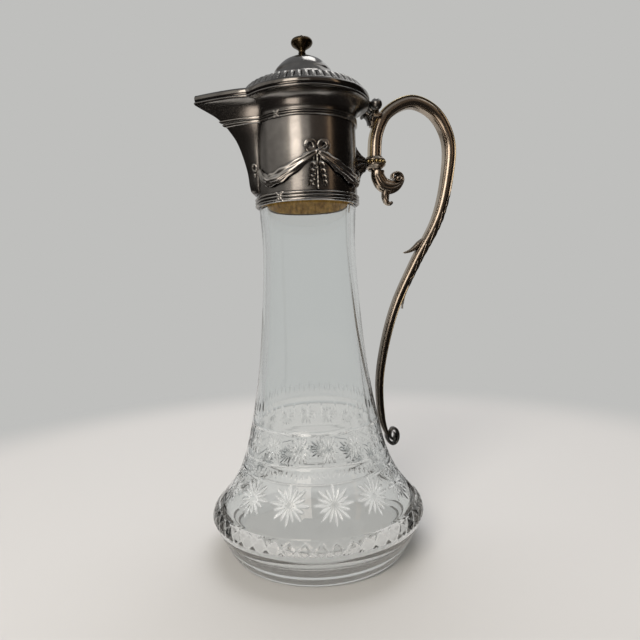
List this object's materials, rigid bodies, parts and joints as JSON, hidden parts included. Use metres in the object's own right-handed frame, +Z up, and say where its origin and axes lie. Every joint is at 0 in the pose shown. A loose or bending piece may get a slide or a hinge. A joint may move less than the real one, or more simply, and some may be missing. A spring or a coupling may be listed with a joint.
{
  "type": "claret jug",
  "caption": "Cut-glass claret jug in a plated mount, with a pointed spout, a loop handle and a hinged lid with a turned finial.",
  "frame": {"origin": "on the axis of the jug, at the underside of its foot", "axes": "+Z up along the axis of the jug, +X towards the handle, -X towards the spout, -Y the side shown in the picture"},
  "size_m": [0.1581, 0.127, 0.2998],
  "materials": {
    "cut_glass": "clear polished cut lead glass",
    "cement": "aged brown cement",
    "plate": "tarnished silver plate, worn bright on the high spots",
    "worn_plate": "silver plate worn to its warm base metal along the edges",
    "dark_plate": "silver plate gone dark",
    "brass": "dull worn brass"
  },
  "bodies": {
    "jug": {"glass_body": "cut_glass", "neck_cement": "cement", "collar_sleeve": "plate", "mouth_wire": "plate", "lower_band": "plate", "upper_band": "plate", "spout": "plate", "spout_moulding": "plate", "swags_near": "plate", "swags_far": "plate", "bow_near": "plate", "bow_far": "plate", "husk_drops_near": "plate", "husk_drops_far": "plate", "ribbon_rod_near": "plate", "ribbon_rod_far": "plate", "spout_knot_near": "plate", "spout_knot_far": "plate", "handle_bracket": "dark_plate", "handle_ring": "worn_plate", "handle_loop": "worn_plate", "handle_leaf": "worn_plate", "handle_thorn": "worn_plate", "handle_volute": "worn_plate", "handle_drop_scroll": "worn_plate", "hinge_strap": "dark_plate", "hinge_saddle": "worn_plate", "hinge_pin": "brass", "hinge_ball_near": "brass", "hinge_ball_far": "brass"},
    "lid": {"lid_hinge_leaf": "dark_plate", "lid_plate": "plate", "lid_rim": "plate", "lid_bezel": "plate", "lid_border": "plate", "lid_dome": "plate", "finial": "dark_plate", "finial_nut": "brass"}
  },
  "joints": [
    {"name": "lid_hinge", "type": "hinge", "parent": "jug", "child": "lid", "pos_m": [0.0414, 0, 0.2602], "axis": [0, 1, 0], "range_deg": [0, 100]}
  ]
}
